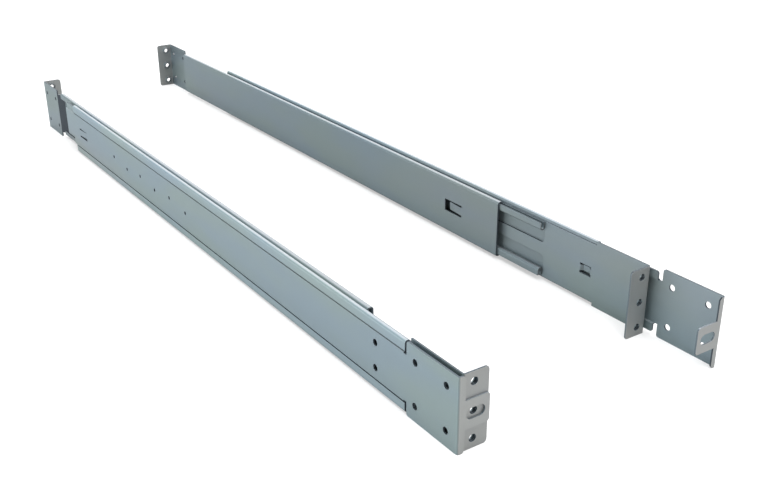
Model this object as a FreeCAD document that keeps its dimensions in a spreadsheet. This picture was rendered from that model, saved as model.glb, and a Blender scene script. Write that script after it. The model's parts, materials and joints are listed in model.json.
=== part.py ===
"""Sliding server rail pair: two mirrored sheet-steel rails with a depth that can be set.

Each rail is an outer channel with a front bracket and two guide strips on its back,
an inner rail that slides forward in it, and a rear bracket that slides on the strips.
X runs across the pair, Y along the rails towards the back, Z up, all in millimetres.
On each rail, depth is counted from the face that meets the server towards the rack posts.
"""
import FreeCAD, Part
import Sketcher
import os

DRIVING_SIZES = [
    ("rail_height", 43.0, "height of the end plates and flanges, one rack unit less clearance"),
    ("steel", 1.0, "thickness of the sheet"),
    ("bend_radius", 0.6, "inside radius of the bends of the outer channel"),
    ("slide_gap", 0.2, "running gap in depth between inner rail and outer channel"),
    ("rail_spacing", 166.3, "from server face to server face of the two rails"),
    ("right_offset", 32.0, "how far the right rail lies behind the left one"),
    ("left_depth", 632.5, "flange to flange on the left rail"),
    ("right_depth", 676.5, "flange to flange on the right rail"),
    ("left_pull", 0.0, "how far the left inner rail is pulled out"),
    ("right_pull", 47.5, "how far the right inner rail is pulled out"),
    ("flange_width", 15.5, "width of the mounting flanges"),
    ("flange_corner", 2.2, "radius of the free corners of the flanges"),
    ("flange_bend", 0.5, "inside radius of the bends at the flanges"),
    ("flange_hole", 4.4, "diameter of the rack screw holes, under their M5 thread"),
    ("neck_diameter", 6.8, "outside diameter of the drawn neck behind each of these holes"),
    ("neck_length", 2.2, "how far the necks stand off the flange"),
    ("flange_hole_inset", 6.6, "hole line behind the bend of the flange"),
    ("rack_pitch", 15.875, "pitch of the rack holes"),
    ("channel_start", 42.0, "front end of the outer channel behind the front flange"),
    ("channel_end", 540.0, "rear end of the outer channel behind the front flange"),
    ("channel_height", 41.5, "height of the outer channel"),
    ("lip_height", 5.75, "height of the channel's inturned lips"),
    ("web_height", 28.2, "height of the inner rail's web between the lips"),
    ("wing_height", 38.4, "height of the inner rail over its wings"),
    ("joggle_run", 0.5, "height over which a wing steps back from the web"),
    ("joggle_lag", 0.6, "how far the step's back lies nearer to mid-height"),
    ("wing_corner", 1.5, "radius of the wings' front corners"),
    ("inner_end", 560.0, "rear end of the inner rail behind the front flange"),
    ("tail_cut", 15.5, "length of the cut in the inner rail's lower rear corner"),
    ("tail_drop", 8.6, "how far below mid-height that cut starts"),
    ("front_gap", 0.2, "gap between the front flange and the inner rail's front"),
    ("front_plate", 41.7, "length of the inner rail's full-height front plate"),
    ("notch_width", 2.4, "width of the notches behind the front plate"),
    ("notch_corner", 1.5, "corner radius beside the notches"),
    ("front_lip", 4.1, "depth of the lip across the inner rail's front"),
    ("lip_chamfer", 1.4, "chamfer at both ends of the lip"),
    ("tab_reach", 18.9, "depth that the front tab reaches to"),
    ("tab_height", 16.2, "height of the front tab"),
    ("tab_drop", 0.5, "how far the tab sits below mid-height"),
    ("tab_corner", 1.8, "radius of the tab's free corners"),
    ("tab_slot_shift", 0.5, "how far the slot's middle lies outside the flange's hole line"),
    ("tab_slot_length", 11.4, "length of the slot in the tab"),
    ("tab_slot_height", 6.2, "height of the slot in the tab"),
    ("server_hole", 4.0, "diameter of the holes for the server's screws"),
    ("server_hole_first", 8.5, "first pair of holes behind the front plate's face"),
    ("server_hole_pitch", 25.0, "spacing of the holes in the front plate, both ways"),
    ("web_pair_place", 69.6, "pair of holes in the web behind the inner rail's face"),
    ("web_pair_spacing", 15.0, "spacing of the pair of holes in the web"),
    ("row_hole", 2.6, "diameter of the small holes along the web"),
    ("row_hole_first", 308.7, "first small hole behind the inner rail's face"),
    ("row_hole_pitch", 27.5, "spacing of the small holes along the web"),
    ("row_offset", 2.6, "how far the two rows of small holes lie apart"),
    ("stop_place", 513.2, "free end of the stop tongue behind the inner rail's face"),
    ("stop_length", 15.0, "length of the stop tongue"),
    ("stop_height", 5.2, "height of the stop tongue"),
    ("stop_slit", 1.2, "width of the slits round the stop tongue"),
    ("stop_gap", 2.0, "width of the gap at the stop tongue's free end"),
    ("stop_lean", 0.9, "how far the stop tongue leans back"),
    ("bracket_front", 41.5, "length of the front bracket's full-height part"),
    ("bracket_back_height", 38.2, "height of the front bracket's plate over the channel"),
    ("bracket_plate", 86.0, "rear end of the front bracket's plate"),
    ("bracket_tongue", 230.0, "rear end of the front bracket's tongue"),
    ("bracket_tongue_height", 8.6, "height of the front bracket's tongue"),
    ("tongue_root", 3.0, "radius at the root of the front bracket's tongue"),
    ("catch_place", 44.4, "near end of the catch in the front bracket"),
    ("catch_length", 9.3, "length of the catch"),
    ("catch_window", 6.6, "height of the window round the catch"),
    ("catch_height", 3.8, "height of the catch strip"),
    ("catch_rise", 1.6, "how far the catch strip is pressed in"),
    ("catch_lag", 0.4, "how far the back of the catch strip's slopes lags their front"),
    ("guide_gap", 1.0, "gap between the front bracket's plate and the guide strips"),
    ("guide_end", 520.0, "rear end of the guide strips"),
    ("guide_inset", 13.0, "guide strip's wall above and below mid-height"),
    ("guide_brim", 5.2, "height of the guide strip's brim"),
    ("guide_rise", 4.1, "depth of the guide strip"),
    ("guide_bend", 0.95, "inside radius of the guide strip's bends"),
    ("rear_length", 549.5, "length of the rear bracket"),
    ("rear_height", 39.2, "height of the rear bracket's channel"),
    ("rear_gap", 0.4, "gap in depth between guide brims and rear bracket"),
    ("rear_bend", 0.8, "inside radius of the rear bracket's bends"),
    ("rear_lip_gap", 0.2, "gap in depth between guide feet and rear bracket's lips"),
    ("rear_lip", 4.4, "height of the rear bracket's lips"),
    ("ear_length", 39.0, "length of the plate at the rear end"),
    ("ear_step", 6.0, "length over which the rear bracket steps in to its end plate"),
    ("step_lag", 0.4, "how far the back of this step lags its front"),
    ("ear_corner", 1.0, "radius of the end plate's front corners"),
    ("ear_hole", 3.2, "diameter of the holes in the end plate"),
    ("ear_hole_inset", 8.0, "first pair of these holes from the rear flange"),
    ("ear_hole_pitch", 25.0, "spacing of the holes in the end plate, both ways"),
    ("spring_place", 38.0, "root of the spring tongue behind the rear bracket's near end"),
    ("spring_length", 14.5, "length of the spring tongue"),
    ("spring_height", 5.8, "height of the spring tongue"),
    ("spring_slit", 1.4, "width of the slits above and below the spring tongue"),
    ("spring_gap", 4.2, "width of the opening at the spring tongue's free end"),
    ("spring_lean", 1.2, "how far the spring tongue leans in"),
    ("spring_corner", 1.2, "radius of the spring tongue's free corners"),
]

ROW_HOLES = 6

doc = FreeCAD.newDocument("ServerRailPair")
sheet = doc.addObject("Spreadsheet::Sheet", "Sizes")


class Size:
    """A length with its value and the text that binds it to the sheet."""

    def __init__(self, value, text):
        self.value = value
        self.text = text

    def __add__(self, other):
        other = as_size(other)
        return Size(self.value + other.value, f"({self.text} + {other.text})")

    def __sub__(self, other):
        other = as_size(other)
        return Size(self.value - other.value, f"({self.text} - {other.text})")

    def __mul__(self, factor):
        return Size(self.value * factor, f"({self.text} * {factor})")

    def __truediv__(self, divisor):
        return Size(self.value / divisor, f"({self.text} / {divisor})")

    def __neg__(self):
        return Size(-self.value, f"(0 mm - {self.text})")

    __radd__ = __add__

    def __rsub__(self, other):
        return as_size(other) - self


def as_size(number):
    """Lets a plain zero stand beside sheet values."""
    if isinstance(number, Size):
        return number
    return Size(float(number), f"{float(number)} mm")


def fill_sheet():
    """Writes the driving sizes and gives each its alias."""
    sizes = {}
    for row, (alias, value, meaning) in enumerate(DRIVING_SIZES, start=1):
        sheet.set(f"A{row}", meaning)
        sheet.set(f"B{row}", str(value))
        sheet.setAlias(f"B{row}", alias)
        sizes[alias] = Size(value, f"Sizes.{alias} * 1 mm")
    doc.recompute()
    return sizes


class Sheet:
    """The driving sizes and what follows from them, as attributes."""

    def __init__(self, sizes):
        self.__dict__.update(sizes)
        self.middle = self.rail_height / 2
        # Depth of each layer, counted from the face that meets the server
        self.wing_face = self.steel + self.slide_gap
        self.web_face = self.wing_face + self.steel + self.slide_gap
        self.bracket_face = self.web_face + self.steel
        self.rack_face = self.bracket_face + self.steel
        self.brim_back = self.bracket_face + self.guide_rise
        self.rear_web = self.brim_back + self.rear_gap
        self.rear_back = self.rear_web + self.steel
        self.rear_front = self.rack_face + self.rear_lip_gap
        self.flange_tip = self.bracket_face + self.flange_width
        self.hole_line = self.bracket_face + self.flange_hole_inset
        # Places along the rail
        self.inner_face = -(self.steel + self.front_gap)
        self.ear_start = self.rear_length - self.ear_length
        self.step_start = self.ear_start - self.ear_step


S = Sheet(fill_sheet())
bodies = []
PLANES = {"along": "XZ_Plane", "side": "YZ_Plane", "top": "XY_Plane"}


class Piece:
    """One body, drawn in a rail's own frame: depth, distance along, height."""

    def __init__(self, name, hand):
        self.body = doc.addObject("PartDesign::Body", name)
        self.body.Label = name
        self.hand = hand
        self.count = 0
        bodies.append(self.body)

    def name(self, kind):
        self.count += 1
        return f"{self.body.Name}_{kind}_{self.count}"

    def sketch(self, plane, offset):
        """Starts a sketch on one of the body's planes, moved along its normal."""
        sketch = self.body.newObject("Sketcher::SketchObject", self.name("sketch"))
        features = self.body.Origin.OriginFeatures
        origin = [f for f in features if f.Role == PLANES[plane]][0]
        sketch.AttachmentSupport = (origin, [""])
        sketch.MapMode = "FlatFace"
        if plane == "along":
            offset = -offset
        sketch.setExpression(".AttachmentOffset.Base.z", offset.text)
        return sketch

    def flip(self, plane, point):
        """Mirrors a point for the right-hand rail; depth is drawn along X."""
        first, second = as_size(point[0]), as_size(point[1])
        if plane in ("along", "top") and self.hand < 0:
            first = -first
        return first, second

    def outline(self, sketch, plane, points):
        """Draws a closed outline whose corners are bound to the sheet."""
        corners = [self.flip(plane, point) for point in points]
        spots = [FreeCAD.Vector(a.value, b.value, 0) for a, b in corners]
        first_line = sketch.GeometryCount
        total = len(spots)
        for i, spot in enumerate(spots):
            sketch.addGeometry(Part.LineSegment(spot, spots[(i + 1) % total]), False)
        for i in range(total):
            following = first_line + (i + 1) % total
            sketch.addConstraint(Sketcher.Constraint("Coincident", first_line + i, 2, following, 1))
        for i, (a, b) in enumerate(corners):
            self.bind(sketch, "DistanceX", first_line + i, 1, a)
            self.bind(sketch, "DistanceY", first_line + i, 1, b)

    def bind(self, sketch, kind, geometry, point, size):
        """Holds one coordinate of a point at a size of the sheet."""
        origin = -1
        index = sketch.addConstraint(
            Sketcher.Constraint(kind, origin, 1, geometry, point, size.value))
        sketch.setExpression(f"Constraints[{index}]", size.text)

    def circle(self, sketch, plane, centre, diameter):
        """Draws a circle whose centre and size are bound to the sheet."""
        a, b = self.flip(plane, centre)
        middle = FreeCAD.Vector(a.value, b.value, 0)
        normal = FreeCAD.Vector(0, 0, 1)
        index = sketch.addGeometry(Part.Circle(middle, normal, diameter.value / 2), False)
        self.bind(sketch, "DistanceX", index, 3, a)
        self.bind(sketch, "DistanceY", index, 3, b)
        size = sketch.addConstraint(Sketcher.Constraint("Diameter", index, diameter.value))
        sketch.setExpression(f"Constraints[{size}]", diameter.text)

    def start_of(self, plane, low, high):
        """Where a sketch lies so that its normal runs from low to high."""
        if plane == "side" and self.hand < 0:
            return -high
        return low

    def grow(self, plane, draw, low, high):
        """Adds what draw() puts in a sketch, from low to high across the plane."""
        low, high = as_size(low), as_size(high)
        sketch = self.sketch(plane, self.start_of(plane, low, high))
        draw(sketch)
        pad = self.body.newObject("PartDesign::Pad", self.name("pad"))
        pad.Profile = sketch
        pad.setExpression("Length", (high - low).text)
        pad.Reversed = plane == "along"
        doc.recompute()

    def pad(self, plane, points, low, high):
        """Adds a solid with straight sides."""
        self.grow(plane, lambda sketch: self.outline(sketch, plane, points), low, high)

    def necks(self, plane, centres, diameter, low, high):
        """Adds round necks."""
        def draw(sketch):
            for centre in centres:
                self.circle(sketch, plane, centre, diameter)
        self.grow(plane, draw, low, high)

    def pocket(self, plane, draw, low, high):
        """Cuts what draw() puts in a sketch, from low to high across the plane."""
        low, high = as_size(low), as_size(high)
        before = self.body.Shape.Volume
        sketch = self.sketch(plane, self.start_of(plane, low, high))
        draw(sketch)
        pocket = self.body.newObject("PartDesign::Pocket", self.name("pocket"))
        pocket.Profile = sketch
        pocket.setExpression("Length", (high - low).text)
        pocket.Reversed = plane != "along"
        doc.recompute()
        if self.body.Shape.Volume >= before:
            raise ValueError(f"{pocket.Name} cuts nothing")
        return pocket

    def holes(self, plane, centres, diameter, low, high):
        """Cuts round holes."""
        def draw(sketch):
            for centre in centres:
                self.circle(sketch, plane, centre, diameter)
        self.pocket(plane, draw, low, high)

    def window(self, plane, outlines, low, high):
        """Cuts openings with straight sides."""
        def draw(sketch):
            for points in outlines:
                self.outline(sketch, plane, points)
        self.pocket(plane, draw, low, high)

    def round_edges(self, direction, places, radius):
        """Rounds the straight edges that run in a direction through given places."""
        axis = {"x": 0, "y": 1, "z": 2}[direction]
        base = self.body.Tip
        names = []
        for index, edge in enumerate(base.Shape.Edges, start=1):
            if len(edge.Vertexes) < 2:
                continue
            first, last = edge.Vertexes[0].Point, edge.Vertexes[-1].Point
            if edge.Curve.TypeId != "Part::GeomLine":
                continue
            run = [abs(last[i] - first[i]) for i in range(3)]
            if any(run[i] > 1e-4 for i in range(3) if i != axis):
                continue
            for place in places:
                if self.passes(first, place, axis):
                    names.append(f"Edge{index}")
        if not names:
            raise ValueError(f"no edge to round on {self.body.Name}")
        fillet = self.body.newObject("PartDesign::Fillet", self.name("round"))
        fillet.Base = (base, names)
        fillet.setExpression("Radius", radius.text)
        doc.recompute()

    def passes(self, point, place, axis):
        """Whether an edge through point also goes through a place in rail terms."""
        for i, wanted in enumerate(place):
            if wanted is None or i == axis:
                continue
            value = as_size(wanted).value
            if i == 0:
                value *= self.hand
            if abs(point[i] - value) > 1e-4:
                return False
        return True


def rectangle(left, right, low, high):
    """Corners of a rectangle from its two spans."""
    return [(left, low), (right, low), (right, high), (left, high)]


def both_ways(points):
    """Mirrors a half outline about mid-height and closes it."""
    upper = [(a, S.middle + b) for a, b in points]
    lower = [(a, S.middle - b) for a, b in reversed(points)]
    return upper + lower


def flange_holes(piece, face, way):
    """Three holes at the rack's pitch, each drawn into a neck; way leads inwards from the rack post."""
    centres = [(S.hole_line, S.middle + S.rack_pitch * i) for i in (-1, 0, 1)]
    back = face + S.steel * way
    tip = back + S.neck_length * way
    piece.necks("along", centres, S.neck_diameter, *(back, tip)[::way])
    piece.holes("along", centres, S.flange_hole, *(face, tip)[::way])


def angle_outline(face, back, tip, flange_low, flange_high, far_end):
    """A plate with a flange turned off one end, seen from above."""
    if flange_low.value <= far_end.value:
        bend, inside = flange_low, flange_high
    else:
        bend, inside = flange_high, flange_low
    return [(face, bend), (tip, bend), (tip, inside), (back, inside), (back, far_end), (face, far_end)]


def outer_channel(name, hand):
    """Fixed channel: open to the server, its lips hold the inner rail's wings."""
    piece = Piece(name, hand)
    half = S.channel_height / 2
    lip = half - S.lip_height
    inner_half = half - S.steel
    inside = both_ways([(S.steel, lip), (S.steel, inner_half), (S.web_face, inner_half)])
    outside = both_ways([(0, lip), (0, half), (S.bracket_face, half)])
    piece.pad("along", inside + outside[::-1], S.channel_start, S.channel_end)
    ends = [S.middle + half, S.middle - half]
    inner_ends = [S.middle + inner_half, S.middle - inner_half]
    piece.round_edges("y", [(a, None, z) for a in (0, S.bracket_face) for z in ends],
                      S.bend_radius + S.steel)
    piece.round_edges("y", [(a, None, z) for a in (S.steel, S.web_face) for z in inner_ends],
                      S.bend_radius)
    # The catch of the front bracket reaches in through this window
    tall = S.catch_window / 2
    piece.window("side", [rectangle(S.catch_place, S.catch_place + S.catch_length,
                                    S.middle - tall, S.middle + tall)],
                 S.web_face, S.bracket_face)
    return piece


def inner_rail(name, hand):
    """Sliding member that is screwed to the server's side."""
    piece = Piece(name, hand)
    face = S.inner_face
    plate_end = face + S.front_plate
    wings_start = plate_end + S.notch_width
    half = S.web_height / 2
    wing = S.wing_height / 2
    step_end = half + S.joggle_run
    section = both_ways([
        (S.steel, half - S.joggle_lag), (S.wing_face + S.steel, step_end - S.joggle_lag),
        (S.wing_face + S.steel, wing), (S.wing_face, wing), (S.wing_face, step_end), (0, half),
    ])
    piece.pad("along", section, wings_start, S.inner_end)
    wing_ends = [(None, wings_start, S.middle + wing), (None, wings_start, S.middle - wing)]
    piece.round_edges("x", wing_ends, S.wing_corner)
    piece.pad("side", rectangle(plate_end - S.notch_corner, wings_start + S.notch_corner,
                                S.middle - half + S.joggle_lag, S.middle + half - S.joggle_lag), 0, S.steel)
    piece.pad("top", angle_outline(as_size(0), S.steel, S.tab_reach, face, face + S.steel, plate_end),
              0, S.rail_height)
    # Above and below the tab only a narrow lip with chamfered ends stays
    tab_middle = S.middle - S.tab_drop
    tab_top = tab_middle + S.tab_height / 2
    tab_bottom = tab_middle - S.tab_height / 2
    lip_start = S.front_lip - S.lip_chamfer
    piece.window("along", [
        [(S.front_lip, tab_top), (S.tab_reach, tab_top), (S.tab_reach, S.rail_height),
         (lip_start, S.rail_height), (S.front_lip, S.rail_height - S.lip_chamfer)],
        [(S.front_lip, tab_bottom), (S.tab_reach, tab_bottom), (S.tab_reach, 0),
         (lip_start, 0), (S.front_lip, S.lip_chamfer)],
    ], face, face + S.steel)
    piece.round_edges("y", [(S.tab_reach, None, tab_top), (S.tab_reach, None, tab_bottom)], S.tab_corner)
    piece.round_edges("z", [(0, face, None)], S.steel + S.flange_bend)
    piece.round_edges("x", [(None, plate_end, 0), (None, plate_end, S.rail_height)], S.notch_corner)
    # Slot in the tab over the flange's middle hole
    slot_middle = S.hole_line + S.tab_slot_shift
    slot_reach = (S.tab_slot_length - S.tab_slot_height) / 2
    slot_low = slot_middle - slot_reach
    slot_high = slot_middle + slot_reach
    tall = S.tab_slot_height / 2
    piece.window("along", [rectangle(slot_low, slot_high, tab_middle - tall, tab_middle + tall)],
                 face, face + S.steel)
    for end in (slot_low, slot_high):
        piece.holes("along", [(end, tab_middle)], S.tab_slot_height, face, face + S.steel)
    # Screw holes, in a square on the front plate and one above the other behind it
    apart = S.server_hole_pitch / 2
    first = face + S.server_hole_first + S.steel
    square = [(first + S.server_hole_pitch * i, S.middle + apart * k) for i in (0, 1) for k in (-1, 1)]
    pair = [(face + S.web_pair_place, S.middle + S.web_pair_spacing * k / 2) for k in (-1, 1)]
    piece.holes("side", square + pair, S.server_hole, 0, S.steel)
    small = []
    for i in range(ROW_HOLES):
        along = face + S.row_hole_first + S.row_hole_pitch * i
        small.append((along, S.middle + S.row_offset / 2 * (-1 if i % 2 == 0 else 1)))
    piece.holes("side", small, S.row_hole, 0, S.steel)
    stop_tongue(piece, face + S.stop_place)
    piece.window("side", [rectangle(S.inner_end - S.tail_cut, S.inner_end, 0, S.middle - S.tail_drop)],
                 0, S.wing_face + S.steel)
    return piece


def stop_tongue(piece, near):
    """Tongue cut free on three sides whose near end leans back to meet the catch."""
    root = near + S.stop_length
    tall = S.stop_height / 2
    slit = tall + S.stop_slit
    piece.window("side", [rectangle(near - S.stop_gap, root, S.middle - slit, S.middle + slit)],
                 0, S.steel)
    piece.pad("top", [(0, root), (S.stop_lean, near), (S.stop_lean + S.steel, near), (S.steel, root)],
              S.middle - tall, S.middle + tall)


def front_bracket(name, hand):
    """Plate with the front flange, and a tongue that runs back under the rear bracket."""
    piece = Piece(name, hand)
    piece.pad("top", angle_outline(S.bracket_face, S.rack_face, S.flange_tip, as_size(0), S.steel,
                                   S.bracket_front), 0, S.rail_height)
    back = S.bracket_back_height / 2
    piece.pad("side", rectangle(S.bracket_front, S.bracket_plate, S.middle - back, S.middle + back),
              S.bracket_face, S.rack_face)
    tall = S.bracket_tongue_height / 2
    piece.pad("side", rectangle(S.bracket_plate, S.bracket_tongue, S.middle - tall, S.middle + tall),
              S.bracket_face, S.rack_face)
    piece.round_edges("z", [(S.bracket_face, 0, None)], S.flange_bend + S.steel)
    piece.round_edges("z", [(S.rack_face, S.steel, None)], S.flange_bend)
    piece.round_edges("y", [(S.flange_tip, None, 0), (S.flange_tip, None, S.rail_height)], S.flange_corner)
    roots = [(None, S.bracket_plate, S.middle - tall), (None, S.bracket_plate, S.middle + tall)]
    piece.round_edges("x", roots, S.tongue_root)
    flange_holes(piece, as_size(0), 1)
    near = S.catch_place
    far = S.catch_place + S.catch_length
    window = S.catch_window / 2
    piece.window("side", [rectangle(near, far, S.middle - window, S.middle + window)],
                 S.bracket_face, S.rack_face)
    # The catch is a strip pressed inwards between two slots
    strip = S.catch_height / 2
    rise = S.catch_rise
    lag = S.catch_lag
    bottom = S.bracket_face - rise
    piece.pad("top", [
        (S.bracket_face, near), (bottom, near + rise), (bottom, far - rise), (S.bracket_face, far),
        (S.rack_face, far), (S.rack_face, far - lag), (bottom + S.steel, far - rise - lag),
        (bottom + S.steel, near + rise + lag), (S.rack_face, near + lag), (S.rack_face, near),
    ], S.middle - strip, S.middle + strip)
    return piece


def guide_strip(name, hand, way):
    """C-shaped strip on the channel's back; way is 1 for the upper and -1 for the lower one."""
    piece = Piece(name, hand)
    inset, outer = S.guide_inset, S.guide_inset + S.guide_brim
    wall = S.guide_inset + S.steel
    brim = S.brim_back - S.steel
    section = [
        (S.bracket_face, inset), (S.brim_back, inset), (S.brim_back, outer), (brim, outer),
        (brim, wall), (S.rack_face, wall), (S.rack_face, outer), (S.bracket_face, outer),
    ]
    placed = [(a, S.middle + z * way) for a, z in section]
    piece.pad("along", placed, S.bracket_plate + S.guide_gap, S.guide_end)
    piece.round_edges("y", [(a, None, S.middle + inset * way) for a in (S.bracket_face, S.brim_back)],
                      S.guide_bend + S.steel)
    piece.round_edges("y", [(a, None, S.middle + wall * way) for a in (S.rack_face, brim)], S.guide_bend)
    return piece


def rear_bracket(name, hand):
    """Channel that hooks over the guide strips, with an end plate and the rear flange."""
    piece = Piece(name, hand)
    half = S.rear_height / 2
    inner_half = half - S.steel
    lip = half - S.rear_lip
    lip_back = S.rear_front + S.steel
    inside = both_ways([(lip_back, lip), (lip_back, inner_half), (S.rear_web, inner_half)])
    outside = both_ways([(S.rear_front, lip), (S.rear_front, half), (S.rear_back, half)])
    piece.pad("along", inside + outside[::-1], 0, S.step_start)
    piece.round_edges("y", [(a, None, S.middle + half * k) for a in (S.rear_front, S.rear_back)
                            for k in (-1, 1)], S.rear_bend + S.steel)
    piece.round_edges("y", [(a, None, S.middle + inner_half * k) for a in (lip_back, S.rear_web)
                            for k in (-1, 1)], S.rear_bend)
    flat = half - S.rear_bend - S.steel
    piece.pad("top", [
        (S.rear_web, S.step_start), (S.rear_back, S.step_start), (S.rear_back, S.step_start + S.step_lag),
        (S.rack_face, S.ear_start + S.step_lag), (S.rack_face, S.ear_start + S.steel),
        (S.bracket_face, S.ear_start + S.steel), (S.bracket_face, S.ear_start),
    ], S.middle - flat, S.middle + flat)
    rear_face = S.rear_length
    piece.pad("top", angle_outline(S.bracket_face, S.rack_face, S.flange_tip, rear_face - S.steel,
                                   rear_face, S.ear_start), 0, S.rail_height)
    piece.round_edges("z", [(S.bracket_face, rear_face, None)], S.flange_bend + S.steel)
    piece.round_edges("z", [(S.rack_face, rear_face - S.steel, None)], S.flange_bend)
    piece.round_edges("y", [(S.flange_tip, None, 0), (S.flange_tip, None, S.rail_height)], S.flange_corner)
    piece.round_edges("x", [(None, S.ear_start, 0), (None, S.ear_start, S.rail_height)], S.ear_corner)
    flange_holes(piece, rear_face, -1)
    first = rear_face - S.ear_hole_inset
    apart = S.ear_hole_pitch / 2
    centres = [(first - S.ear_hole_pitch * i, S.middle + apart * k) for i in (0, 1) for k in (-1, 1)]
    piece.holes("side", centres, S.ear_hole, S.bracket_face, S.rack_face)
    spring_tongue(piece)
    return piece


def spring_tongue(piece):
    """Tongue cut free on three sides whose far end leans in towards the guide strips."""
    near = S.spring_place
    far = near + S.spring_length
    tall = S.spring_height / 2
    slit = tall + S.spring_slit
    piece.window("side", [rectangle(near, far + S.spring_gap, S.middle - slit, S.middle + slit)],
                 S.rear_web, S.rear_back)
    tip = S.rear_web - S.spring_lean
    piece.pad("top", [(S.rear_web, near), (tip, far), (tip + S.steel, far), (S.rear_back, near)],
              S.middle - tall, S.middle + tall)
    piece.round_edges("x", [(None, far, S.middle - tall), (None, far, S.middle + tall)], S.spring_corner)


def place(piece, hand, along):
    """Puts a piece on its rail; the pair's middle is the origin."""
    near_end = S.right_offset + S.inner_face - S.right_pull
    far_end = S.right_offset + S.right_depth
    centre = (near_end + far_end) / 2
    piece.body.setExpression(".Placement.Base.x", (S.rail_spacing * (-hand) / 2).text)
    piece.body.setExpression(".Placement.Base.y", (along - centre).text)


def build_rail(side, hand, offset, pull, depth):
    """Makes the six pieces of one rail."""
    fixed = [
        outer_channel(f"{side}_outer_channel", hand),
        front_bracket(f"{side}_front_bracket", hand),
        guide_strip(f"{side}_upper_guide", hand, 1),
        guide_strip(f"{side}_lower_guide", hand, -1),
    ]
    for piece in fixed:
        place(piece, hand, offset)
    place(inner_rail(f"{side}_inner_rail", hand), hand, offset - pull)
    place(rear_bracket(f"{side}_rear_bracket", hand), hand, offset + depth - S.rear_length)


def check_and_write():
    """Stops on any failed object, then writes each piece to its own file."""
    doc.recompute()
    for item in doc.Objects:
        if "Invalid" in item.State or "Error" in item.State:
            raise ValueError(f"{item.Name} failed: {item.State}")
    os.makedirs("parts", exist_ok=True)
    for body in bodies:
        shape = body.Shape
        if shape.isNull() or not shape.isValid() or len(shape.Solids) != 1:
            raise ValueError(f"{body.Label} is not one valid solid")
        shape.exportStep(f"parts/{body.Label}.step")
        box = shape.BoundBox
        print(f"{body.Label}: {box.XMin:.2f} {box.XMax:.2f}  {box.YMin:.2f} {box.YMax:.2f}  "
              f"{box.ZMin:.2f} {box.ZMax:.2f}  volume {shape.Volume:.0f}")


build_rail("left", 1, as_size(0), S.left_pull, S.left_depth)
build_rail("right", -1, S.right_offset, S.right_pull, S.right_depth)
check_and_write()
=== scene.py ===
"""Looks of a sliding server rail pair: zinc-plated sheet steel on a plain pale floor."""
import json
import math
from functools import reduce

import bmesh
import bpy
from mathutils import Matrix, Vector


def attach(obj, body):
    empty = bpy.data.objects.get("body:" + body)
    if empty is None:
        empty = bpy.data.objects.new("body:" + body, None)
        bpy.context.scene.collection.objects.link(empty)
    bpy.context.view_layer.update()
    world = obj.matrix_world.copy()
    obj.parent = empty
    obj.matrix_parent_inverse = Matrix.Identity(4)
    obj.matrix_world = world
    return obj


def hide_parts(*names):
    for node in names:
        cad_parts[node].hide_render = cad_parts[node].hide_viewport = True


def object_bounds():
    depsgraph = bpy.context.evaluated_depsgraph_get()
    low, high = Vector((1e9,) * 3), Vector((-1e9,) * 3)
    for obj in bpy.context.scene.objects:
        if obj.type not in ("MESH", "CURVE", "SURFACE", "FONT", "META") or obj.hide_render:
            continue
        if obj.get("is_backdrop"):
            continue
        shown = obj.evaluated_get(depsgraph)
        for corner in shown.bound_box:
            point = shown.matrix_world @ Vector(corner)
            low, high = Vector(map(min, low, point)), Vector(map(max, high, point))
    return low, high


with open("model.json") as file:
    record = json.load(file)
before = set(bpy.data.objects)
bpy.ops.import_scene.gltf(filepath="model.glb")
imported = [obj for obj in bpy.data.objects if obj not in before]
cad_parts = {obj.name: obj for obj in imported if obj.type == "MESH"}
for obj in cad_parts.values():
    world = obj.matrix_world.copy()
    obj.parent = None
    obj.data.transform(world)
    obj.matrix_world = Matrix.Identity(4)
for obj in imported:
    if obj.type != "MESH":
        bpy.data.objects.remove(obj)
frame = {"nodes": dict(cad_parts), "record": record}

CAD_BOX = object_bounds()
MM = 0.001

# The photograph's view, worked out from the flanges and the long edges of both rails
VIEW_WIDTH = 768
FOCAL_PIXELS = 1004.5
SENSOR = 36.0
CAMERA_LEFT = 0.24795
CAMERA_BEFORE = 0.30785
CAMERA_HEIGHT = 0.2853
CAMERA_YAW = math.radians(34.0)
CAMERA_PITCH = math.radians(24.32)
CAMERA_ROLL = math.radians(-0.29)
CAMERA_NEAR = 10 * MM

# Flats that are merged, and the slight rounding of the sheet's edges
MERGE_DISTANCE = 0.002 * MM
FLAT_ANGLE = math.radians(0.3)
FLAT_WEIGHT = 100
EDGE_ANGLE = math.radians(38)
EDGE_ROUND = 0.16 * MM
EDGE_STEPS = 2

# What tells sheared faces apart: their width, the rim of a hole, how far a hole through an
# upright plate and an outline without a front lip reach across the pair, and facing sideways
SHEAR_WIDTH = 1.2 * MM
HOLE_RIM = 60 * MM
PLATE_DEPTH = 2 * MM
TAB_REACH = 12 * MM
SIDE_FACING = 0.7

# The rear bracket's slanting step, by the slant and size of its faces; it gets painted shade as
# dark as a cut
STEP_SLANT = (0.3, 0.95)
STEP_AREA = 100 * MM * MM

# How raw a face looks, from 0 for zinc to 1 for a dark cut; the full value also paints shade on
# the rear bracket's step
CUT_RAW_AND_STEP_SHADE = 1.0
RIM_RAW = 0.5
TAB_RAW = 0.2

# Tapped holes in the flanges, M5
RACK_PITCH = 15.875 * MM
THREAD_PITCH = 0.8 * MM
THREAD_DEPTH = 0.26 * MM
THREAD_SINK = 0.03 * MM
THREAD_STEPS = 97
THREAD_ROWS = 3
THREAD_FADE = 24.0

# Floor and room; the lift brightens the floor for the camera alone
WHITE = (1.0, 1.0, 1.0, 1.0)
FLOOR_SIZE = 12.0
FLOOR_COLOUR = (0.43, 0.43, 0.43, 1.0)
FLOOR_ROUGHNESS = 0.9
FLOOR_LIFT = 0.48
SKY_LEVEL = 0.16
SEEN_WHITE = 1.0

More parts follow.
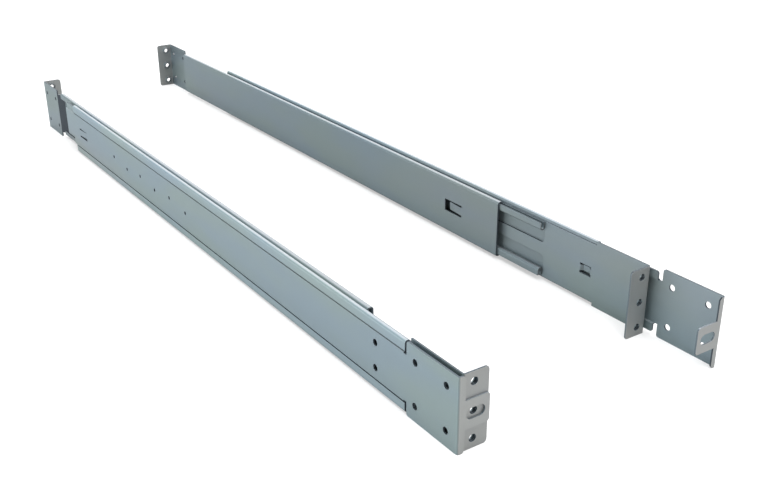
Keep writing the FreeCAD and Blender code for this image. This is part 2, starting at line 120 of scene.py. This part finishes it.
# Light: the ceiling's place, spread and strength, and each lamp's place, size and power
AIM = (0.0, 0.0, 0.02)
CEILING = ((0.1, -0.1, 1.7), math.radians(60), 4.6)
LAMPS = {
    "back_lamp": ((1.2, 2.2, 1.4), 2.4, 36.0),
    "left_lamp": ((-1.6, 0.1, 0.36), 0.7, 13.0),
    "front_lamp": ((-0.2, -1.9, 0.7), 1.4, 20.0),
}

# Zinc as it looks in plain light; the warm tone also tints the front faces and the neutral one
# the tops, as painted light
COOL = (146, 164, 174)
GREEN = (148, 165, 166)
WARM_TONE_AND_FRONT_LIGHT = (166, 166, 164)
TOP_LIGHT_NEUTRAL = (147, 150, 155)
# The raw tone also serves as painted shade on the rear bracket's step
RAW_AND_SHADE_TONE = (84, 92, 99)

# Patterns in the zinc: stretch along the axes, then the noise's scale, detail and roughness
CLOUDS = ((1.0, 0.35, 1.3), 26.0, 2.0, 0.5)
DRIFT = ((1.0, 0.25, 1.0), 12.0, 1.0, 0.4)
ROLLED_LINES = ((900.0, 9.0, 900.0), 1.0, 3.0, 0.6)
GRAIN = ((1.0, 1.0, 1.0), 2400.0, 2.0, 0.6)

# From where to where a pattern, a facing or a place comes in; the front and top facings place
# painted light, the flat facing painted shade on bends, and the rack facing painted shade on the
# rack side
GREEN_CLOUDS = (0.36, 0.68)
WARM_DRIFT = (0.5, 0.8)
FRONT_LIGHT_FACING = (0.6, 0.95)
TOP_LIGHT_FACING = (0.85, 0.99)
FLAT_FACING = (0.8, 0.98)
RACK_SHADE_FACING = (0.03, 0.06)

# How much each of them shows in the tint, the value, the roughness and the relief; the front and
# top tints are painted light, and the bends' value is painted shade
DRIFT_TINT, FRONT_LIGHT_TINT, TOP_LIGHT_TINT = 0.4, 0.85, 0.8
LINE_VALUE, CLOUD_VALUE, BENT_SHADE = 0.07, 0.05, 0.22
LINE_ROUGH, CLOUD_ROUGH, BENT_ROUGH, RAW_ROUGH = 0.14, 0.08, 0.3, 0.2
LINE_HEIGHT, GRAIN_HEIGHT = 0.7, 0.3
BUMP_STRENGTH = 0.2
BUMP_DISTANCE = 0.04 * MM
METALLIC = 0.7

# Where a Mix node keeps its two colours and what it makes of them
MIX_FIRST, MIX_SECOND, MIX_RESULT = 6, 7, 2

# Each slot's zinc: its value, its roughness and how much painted shade darkens its rack side
ZINCS = {
    "channel_zinc": (0.96, 0.52, 0.2),
    "inner_zinc": (0.87, 0.48, 0.0),
    "bracket_zinc": (0.81, 0.44, 0.0),
    "guide_zinc": (0.79, 0.42, 0.0),
    "rear_zinc": (0.72, 0.44, 0.0),
}


class Field:
    """A value in a node tree that Python's own operators combine."""

    def __init__(self, wiring, socket):
        self.wiring = wiring
        self.socket = socket

    def maths(self, operation, *values):
        """One Math node on values or fields."""
        inputs = dict(enumerate(values))
        return self.wiring.node("ShaderNodeMath", {"operation": operation}, inputs)

    def __add__(self, other):
        return self.maths("ADD", self, other)

    def __radd__(self, other):
        return self.maths("ADD", other, self)

    def __sub__(self, other):
        return self.maths("SUBTRACT", self, other)

    def __rsub__(self, other):
        return self.maths("SUBTRACT", other, self)

    def __mul__(self, other):
        return self.maths("MULTIPLY", self, other)

    def __rmul__(self, other):
        return self.maths("MULTIPLY", other, self)

    def __truediv__(self, other):
        return self.maths("DIVIDE", self, other)

    def __rtruediv__(self, other):
        return self.maths("DIVIDE", other, self)

    def __pow__(self, other):
        return self.maths("POWER", self, other)

    def __rpow__(self, other):
        return self.maths("POWER", other, self)

    def __neg__(self):
        return self * -1.0

    def __abs__(self):
        return self.maths("ABSOLUTE", self)

    def at_least(self, other):
        """The larger of this field and another."""
        return self.maths("MAXIMUM", self, other)


class Wiring:
    """A node tree that is put together from fields."""

    def __init__(self, tree):
        self.tree = tree

    def node(self, kind, settings, inputs, output=0):
        """Adds a node, sets it up, then gives its sockets values or links."""
        made = self.tree.nodes.new(kind)
        for name, value in settings.items():
            setattr(made, name, value)
        for key, value in inputs.items():
            self.give(made.inputs[key], value)
        return Field(self, made.outputs[output])

    def give(self, socket, value):
        """Links a field to a socket, or sets a plain value there."""
        if isinstance(value, Field):
            self.tree.links.new(value.socket, socket)
        else:
            socket.default_value = value

    def axis(self, vector, name):
        """One component of a vector field."""
        return self.node("ShaderNodeSeparateXYZ", {}, {0: vector}, name)

    def met_by(self, *kinds):
        """1 where a ray is of one of these kinds, and otherwise 0."""
        rays = [self.node("ShaderNodeLightPath", {}, {}, f"Is {kind} Ray") for kind in kinds]
        return reduce(Field.at_least, rays)


class Finish(Wiring):
    """A procedural material with one Principled shader."""

    def __init__(self, name):
        self.material = bpy.data.materials.new(name)
        self.material.use_nodes = True
        super().__init__(self.material.node_tree)
        self.shader = self.tree.nodes["Principled BSDF"]

    def surface(self, name, value):
        """Sets one property of the surface."""
        self.give(self.shader.inputs[name], value)

    def coordinates(self, kind):
        """Where a point lies, in metres, or which way its surface faces."""
        return self.node("ShaderNodeTexCoord", {}, {}, kind)

    def noise(self, stretch, scale, detail, roughness):
        """Smooth noise from 0 to 1, stretched along the axes."""
        place = {"Vector": self.coordinates("Object"), "Scale": stretch}
        vector = self.node("ShaderNodeMapping", {}, place)
        inputs = {"Vector": vector, "Scale": scale, "Detail": detail, "Roughness": roughness}
        return self.node("ShaderNodeTexNoise", {}, inputs, "Fac")

    def ramp(self, value, low, high):
        """Rises smoothly from 0 at low to 1 at high."""
        inputs = {"Value": value, "From Min": low, "From Max": high}
        return self.node("ShaderNodeMapRange", {"interpolation_type": "SMOOTHSTEP"}, inputs)

    def mix(self, factor, first, second):
        """Mixes two colours."""
        inputs = {"Factor": factor, MIX_FIRST: first, MIX_SECOND: second}
        return self.node("ShaderNodeMix", {"data_type": "RGBA"}, inputs, MIX_RESULT)


def colour(red, green, blue):
    """A colour as it is seen on the screen, turned into light."""
    return tuple((value / 255) ** 2.2 for value in (red, green, blue)) + (1.0,)


def zinc(name, shade, rough, rack_shade):
    """Clear-passivated zinc on rolled steel, with painted light and painted shade on some faces.
    """
    finish = Finish(name)
    clouds = finish.noise(*CLOUDS)
    drift = finish.noise(*DRIFT)
    lines = finish.noise(*ROLLED_LINES)
    grain = finish.noise(*GRAIN)
    tint = finish.mix(finish.ramp(clouds, *GREEN_CLOUDS), colour(*COOL), colour(*GREEN))
    tint = finish.mix(finish.ramp(drift, *WARM_DRIFT) * DRIFT_TINT, tint, colour(*WARM_TONE_AND_FRONT_LIGHT))

    # Painted light: faces to the front get a warm tint and the ones that face up a neutral one
    normal = finish.coordinates("Normal")
    across, along, upward = [finish.axis(normal, letter) for letter in "XYZ"]
    tint = finish.mix(finish.ramp(-along, *FRONT_LIGHT_FACING) * FRONT_LIGHT_TINT, tint, colour(*WARM_TONE_AND_FRONT_LIGHT))
    tint = finish.mix(finish.ramp(upward, *TOP_LIGHT_FACING) * TOP_LIGHT_TINT, tint, colour(*TOP_LIGHT_NEUTRAL))
    # Raw cut faces and threads take the raw tone, and so does the rear bracket's step as painted
    # shade
    raw_and_shade = finish.node("ShaderNodeAttribute", {"attribute_name": "raw_and_shade"}, {}, "Fac")
    tint = finish.mix(raw_and_shade, tint, colour(*RAW_AND_SHADE_TONE))

    # Bends face none of the three ways; their zinc is more matte, and painted shade darkens them
    # to tone down their highlights
    straight = abs(across).at_least(abs(upward)).at_least(abs(along))
    bent = 1.0 - finish.ramp(straight, *FLAT_FACING)
    streaks, patches = lines - 0.5, clouds - 0.5
    value = shade + streaks * LINE_VALUE + patches * CLOUD_VALUE - bent * BENT_SHADE
    if rack_shade:
        # Painted shade in the recess under the guide strips: the rack sides of both rails face
        # the middle of the pair, and there the zinc is darker
        inward = -(across * finish.axis(finish.coordinates("Object"), "X"))
        value = value - finish.ramp(inward, *RACK_SHADE_FACING) * rack_shade
    shaded = finish.node("ShaderNodeHueSaturation", {}, {"Color": tint, "Value": value})
    finish.surface("Base Color", shaded)
    finish.surface("Metallic", METALLIC)
    finish.surface("Roughness", rough + raw_and_shade * RAW_ROUGH + bent * BENT_ROUGH
                   + streaks * LINE_ROUGH + patches * CLOUD_ROUGH)
    relief = {"Strength": BUMP_STRENGTH, "Distance": BUMP_DISTANCE,
              "Height": lines * LINE_HEIGHT + grain * GRAIN_HEIGHT}
    finish.surface("Normal", finish.node("ShaderNodeBump", {}, relief))
    return finish.material


def smooth_groups(work):
    """Sorts the faces into groups that run into each other without a sharp edge."""
    unsorted = set(work.faces)
    for first in work.faces:
        if first not in unsorted:
            continue
        unsorted.remove(first)
        group, waiting = [], [first]
        while waiting:
            face = waiting.pop()
            group.append(face)
            for edge in face.edges:
                if edge.calc_face_angle(math.pi) < EDGE_ANGLE:
                    near = [other for other in edge.link_faces if other in unsorted]
                    unsorted.difference_update(near)
                    waiting += near
        yield group


def rawness(face, rim, depth, has_tab):
    """How raw a sheared face looks, by the hole or outline that it is part of."""
    if rim < HOLE_RIM:
        return RIM_RAW if depth > PLATE_DEPTH else CUT_RAW_AND_STEP_SHADE
    if abs(face.normal.x) > SIDE_FACING:
        return RIM_RAW
    return TAB_RAW if has_tab and depth > TAB_REACH else CUT_RAW_AND_STEP_SHADE


def mark_raw_and_shade(work, has_tab):
    """Notes how raw the faces as narrow as the sheet is thick look, and darkens the step with
    painted shade.
    """
    raw_and_shade = work.faces.layers.float.new("raw_and_shade")
    for group in smooth_groups(work):
        area = sum(face.calc_area() for face in group)
        rim = sum(edge.calc_length() for face in group for edge in face.edges
                  if edge.calc_face_angle(math.pi) >= EDGE_ANGLE)
        if 2 * area < SHEAR_WIDTH * rim:
            places = [corner.co.x for face in group for corner in face.verts]
            depth = max(places) - min(places)
            for face in group:
                face[raw_and_shade] = rawness(face, rim, depth, has_tab)
    # Painted shade: the rear bracket's slanting step is made as dark as a cut, for the shade in
    # the gap between the ear and the channel
    for face in work.faces:
        slanting = STEP_SLANT[0] < abs(face.normal.y) < STEP_SLANT[1]
        if slanting and face.calc_area() > STEP_AREA:
            face[raw_and_shade] = CUT_RAW_AND_STEP_SHADE


def refined(node_name, material):
    """A copy of a part with its flats merged and its sheared edges slightly rounded."""
    mesh = frame["nodes"][node_name].data.copy()
    mesh.name = f"{node_name}_skin"
    work = bmesh.new()
    work.from_mesh(mesh)
    bmesh.ops.remove_doubles(work, verts=work.verts, dist=MERGE_DISTANCE)
    bmesh.ops.dissolve_limit(work, angle_limit=FLAT_ANGLE, verts=work.verts, edges=work.edges)
    mark_raw_and_shade(work, has_tab=node_name.endswith("inner_rail"))
    work.to_mesh(mesh)
    work.free()
    mesh.materials.clear()
    mesh.materials.append(material)
    piece = bpy.data.objects.new(mesh.name, mesh)
    bpy.context.scene.collection.objects.link(piece)
    for polygon in mesh.polygons:
        polygon.use_smooth = True
    edges = piece.modifiers.new("sheared_edges", "BEVEL")
    edges.width = EDGE_ROUND
    edges.segments = EDGE_STEPS
    edges.limit_method = "ANGLE"
    edges.angle_limit = EDGE_ANGLE
    flats = piece.modifiers.new("even_flats", "WEIGHTED_NORMAL")
    flats.mode = "FACE_AREA"
    flats.weight = FLAT_WEIGHT
    return piece


def dress_rails(materials):
    """Gives every part its refined skin, riding on the part's own body."""
    bodies = frame["record"]["behaviour"]["bodies"]
    slots = {entry["node"]: entry["material_slot"] for entry in frame["record"]["subparts"]}
    for body, nodes in bodies.items():
        for name in nodes:
            piece = refined(name, materials[slots[name]])
            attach(piece, body)
            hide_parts(name)


THREAD_INPUTS = {
    "Holes": "NodeSocketGeometry",
    "Hole Radius": "NodeSocketFloat",
    "Wall": "NodeSocketFloat",
    "Pitch": "NodeSocketFloat",
    "Depth": "NodeSocketFloat",
    "Sink": "NodeSocketFloat",
    "Steps": "NodeSocketInt",
    "Finish": "NodeSocketMaterial",
}


def thread_ridges():
    """Geometry Nodes: a strip is bent into a thread's ridge and set into every hole."""
    tree = bpy.data.node_groups.new("thread_ridges", "GeometryNodeTree")
    for name, kind in THREAD_INPUTS.items():
        tree.interface.new_socket(name, in_out="INPUT", socket_type=kind)
    tree.interface.new_socket("Ridges", in_out="OUTPUT", socket_type="NodeSocketGeometry")
    wiring = Wiring(tree)
    given = tree.nodes.new("NodeGroupInput")
    ask = {name: Field(wiring, given.outputs[name]) for name in THREAD_INPUTS}

    # A strip one unit long and wide, whose middle row becomes the crest
    strip = wiring.node("GeometryNodeMeshGrid", {}, {
        "Size X": 1.0, "Size Y": 1.0, "Vertices X": ask["Steps"], "Vertices Y": THREAD_ROWS})
    spot = wiring.node("GeometryNodeInputPosition", {}, {})
    along = wiring.axis(spot, "X") + 0.5
    across = wiring.axis(spot, "Y")

    # It winds through the wall and runs out into the bore's wall at both ends
    rise = ask["Wall"] - ask["Pitch"]
    angle = along * (rise / ask["Pitch"]) * math.tau
    fade = 1.0 - abs(along * 2.0 - 1.0) ** THREAD_FADE
    crest = (1.0 - abs(across) * 2.0) * fade
    radius = ask["Hole Radius"] + ask["Sink"] - crest * (ask["Depth"] + ask["Sink"])
    bent = wiring.node("ShaderNodeCombineXYZ", {}, {
        "X": angle.maths("COSINE", angle) * radius,
        "Y": angle.maths("SINE", angle) * radius,
        "Z": along * rise + ask["Pitch"] * 0.5 + across * ask["Pitch"]})
    ridge = wiring.node("GeometryNodeSetPosition", {}, {"Geometry": strip, "Position": bent})
    smooth = wiring.node("GeometryNodeSetShadeSmooth", {}, {"Geometry": ridge})
    marked = wiring.node("GeometryNodeStoreNamedAttribute", {}, {
        "Geometry": smooth, "Name": "raw_and_shade", "Value": CUT_RAW_AND_STEP_SHADE})

    # Its axis, Z, is turned to +Y, along the holes
    backwards = (math.radians(-90), 0.0, 0.0)
    set_in = wiring.node("GeometryNodeInstanceOnPoints", {}, {
        "Points": ask["Holes"], "Instance": marked, "Rotation": backwards})
    solid = wiring.node("GeometryNodeRealizeInstances", {}, {"Geometry": set_in})
    finished = {"Geometry": solid, "Material": ask["Finish"]}
    dressed = wiring.node("GeometryNodeSetMaterial", {}, finished)
    leave = tree.nodes.new("NodeGroupOutput")
    wiring.give(leave.inputs["Ridges"], dressed)
    return tree


def cut_threads(pattern, body, flanges, material):
    """Thread ridges in the tapped holes of the flanges that one body carries."""
    middles = [f"{flange}_middle_hole" for flange in flanges]
    holes = [mount for mount in frame["record"]["mounts"] if mount["name"] in middles]
    wall = holes[0]["dims"]["length_mm"] * MM
    bore = holes[0]["dims"]["r_mm"] * MM
    starts = [(x, y - wall / 2, z + RACK_PITCH * step)
              for x, y, z in (hole["pos_m"] for hole in holes) for step in (-1, 0, 1)]
    name = f"{body}_threads"
    points = bpy.data.meshes.new(f"{name}_places")
    points.from_pydata(starts, [], [])
    piece = bpy.data.objects.new(name, points)
    bpy.context.scene.collection.objects.link(piece)
    values = {"Hole Radius": bore, "Wall": wall, "Pitch": THREAD_PITCH, "Depth": THREAD_DEPTH,
              "Sink": THREAD_SINK, "Steps": THREAD_STEPS, "Finish": material}
    ridges = piece.modifiers.new("ridges", "NODES")
    ridges.node_group = pattern
    for item in pattern.interface.items_tree:
        if item.name in values:
            ridges[item.identifier] = values[item.name]
    shaped = piece.evaluated_get(bpy.context.evaluated_depsgraph_get())
    mesh = bpy.data.meshes.new_from_object(shaped)
    mesh.name = name
    piece.modifiers.remove(ridges)
    piece.data = mesh
    bpy.data.meshes.remove(points)
    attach(piece, body)


def make_floor():
    """A wide pale floor that keeps the pair's shadow.

    The lift makes it white where the camera sees it. Metal shows it without the lift.
    """
    finish = Finish("pale_floor")
    finish.surface("Base Color", FLOOR_COLOUR)
    finish.surface("Roughness", FLOOR_ROUGHNESS)
    finish.surface("Emission Strength", 1.0)
    finish.surface("Emission Color", finish.met_by("Camera") * FLOOR_LIFT)
    bpy.ops.mesh.primitive_plane_add(size=FLOOR_SIZE)
    floor = bpy.context.object
    floor.name = "floor"
    floor.data.materials.append(finish.material)
    floor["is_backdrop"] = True


def hang(name, light, place):
    """Puts a light at a place, turned to the pair."""
    lamp = bpy.data.objects.new(name, light)
    lamp.location = Vector(place)
    lamp.rotation_euler = (Vector(AIM) - lamp.location).to_track_quat("-Z", "Y").to_euler()
    bpy.context.scene.collection.objects.link(lamp)


def add_lamp(name, place, size, power):
    """A square soft lamp."""
    light = bpy.data.lights.new(name, "AREA")
    light.energy = power
    light.size = size
    hang(name, light, place)


def add_ceiling(place, spread, strength):
    """Light from a wide ceiling, the same all over the floor."""
    light = bpy.data.lights.new("ceiling", "SUN")
    light.energy = strength
    light.angle = spread
    hang("ceiling", light, place)


def make_light():
    """Soft studio light: an even room, a wide ceiling, and lamps at the back, left and front."""
    world = bpy.data.worlds.new("studio")
    bpy.context.scene.world = world
    world.use_nodes = True
    wiring = Wiring(world.node_tree)
    background = world.node_tree.nodes["Background"]
    seen = wiring.met_by("Camera", "Glossy", "Transmission")
    wiring.give(background.inputs["Strength"], seen * (SEEN_WHITE - SKY_LEVEL) + SKY_LEVEL)
    wiring.give(background.inputs["Color"], WHITE)
    add_ceiling(*CEILING)
    for name, lamp in LAMPS.items():
        add_lamp(name, *lamp)


def lowest(node_name, axis):
    """A part's lowest place along an axis."""
    return min(vertex.co[axis] for vertex in frame["nodes"][node_name].data.vertices)


def make_camera():
    """The photograph's view of the pair, held to the left rail's front corner."""
    data = bpy.data.cameras.new("photo_view")
    data.sensor_width = SENSOR
    data.lens = FOCAL_PIXELS * SENSOR / VIEW_WIDTH
    data.clip_start = CAMERA_NEAR
    camera = bpy.data.objects.new("photo_view", data)
    place = Vector((lowest("left_inner_rail", 0) - CAMERA_LEFT,
                    lowest("left_front_bracket", 1) - CAMERA_BEFORE, CAMERA_HEIGHT))
    turn = (Matrix.Rotation(-CAMERA_YAW, 3, "Z")
            @ Matrix.Rotation(math.pi / 2 - CAMERA_PITCH, 3, "X")
            @ Matrix.Rotation(CAMERA_ROLL, 3, "Z"))
    camera.matrix_world = Matrix.Translation(place) @ turn.to_4x4()
    bpy.context.scene.collection.objects.link(camera)
    bpy.context.scene.camera = camera


def write_sizes():
    """Works out the part's box before and after dressing, then drops both."""
    boxes = {"cad": CAD_BOX, "visual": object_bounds()}
    {key: [list(corner) for corner in box] for key, box in boxes.items()}


make_camera()
make_light()
make_floor()
materials = {slot: zinc(slot, *look) for slot, look in ZINCS.items()}
dress_rails(materials)
pattern = thread_ridges()
fronts = ("left_front", "right_front")
cut_threads(pattern, "fixed_rails", fronts, materials["bracket_zinc"])
for side in ("left", "right"):
    cut_threads(pattern, f"{side}_rear", (f"{side}_rear",), materials["rear_zinc"])
bpy.context.scene.view_settings.view_transform = "Standard"
write_sizes()
